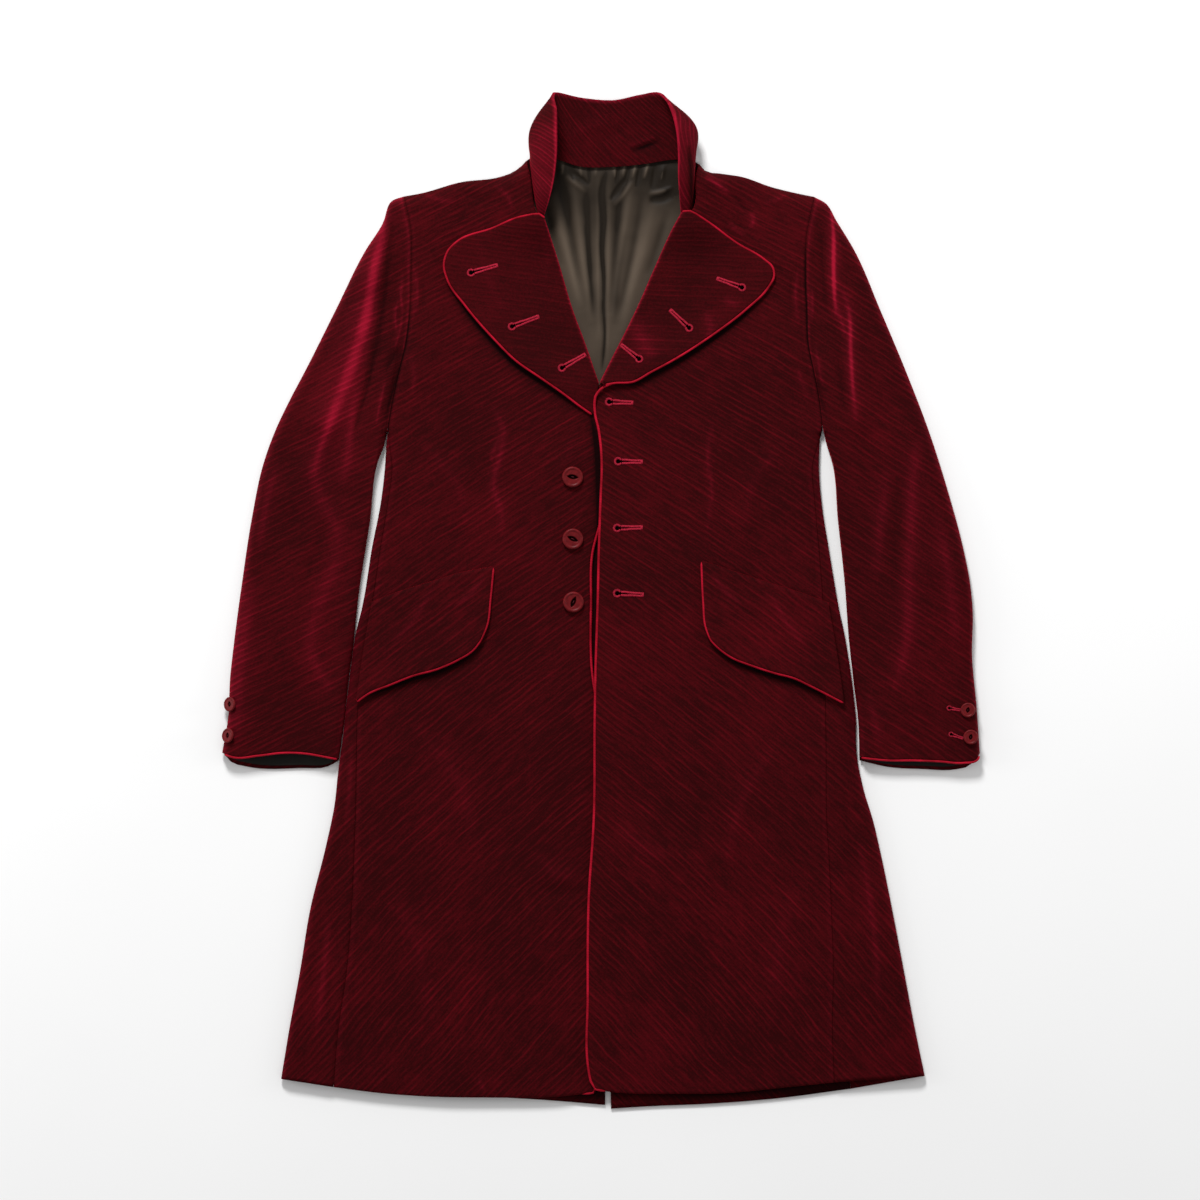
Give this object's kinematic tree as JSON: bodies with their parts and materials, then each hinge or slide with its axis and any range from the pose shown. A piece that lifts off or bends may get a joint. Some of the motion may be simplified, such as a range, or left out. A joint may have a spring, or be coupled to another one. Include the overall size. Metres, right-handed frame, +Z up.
{
  "type": "frock coat",
  "caption": "Knee-length frock coat laid flat on its back, with standing collar, turned-back lapels, slanted pocket flaps and unbuttoned front.",
  "frame": {"origin": "middle of the coat's bounding box in x and y, on the surface that it lies on", "axes": "+Y from the hem to the collar, +Z up off the surface, +X to the wearer's left"},
  "size_m": [0.796, 1.0677, 0.0427],
  "materials": {
    "velvet": "corded cotton velvet, deep crimson",
    "lining": "grey-brown lining satin",
    "piping": "brighter crimson satin piping cord",
    "button": "dyed button resin, semi-gloss"
  },
  "bodies": {
    "root": {"front_left": "velvet", "front_right": "velvet", "back_left": "velvet", "back_right": "velvet", "side_left": "velvet", "side_right": "velvet", "lapel_left": "velvet", "lapel_right": "velvet", "collar": "velvet", "sleeve_upper_left": "velvet", "sleeve_upper_right": "velvet", "sleeve_forearm_left": "velvet", "sleeve_forearm_right": "velvet", "sleeve_under_left": "velvet", "sleeve_under_right": "velvet", "flap_left": "velvet", "flap_right": "velvet", "lining_back": "lining", "cuff_lining_left": "lining", "cuff_lining_right": "lining", "piping_front_left": "piping", "piping_front_right": "piping", "piping_lapel_left": "piping", "piping_lapel_right": "piping", "piping_flap_left": "piping", "piping_flap_right": "piping", "piping_cuff_left": "piping", "piping_cuff_right": "piping", "button_front_1": "button", "button_front_2": "button", "button_front_3": "button", "button_cuff_left_1": "button", "button_cuff_left_2": "button", "button_cuff_right_1": "button", "button_cuff_right_2": "button"}
  },
  "joints": []
}
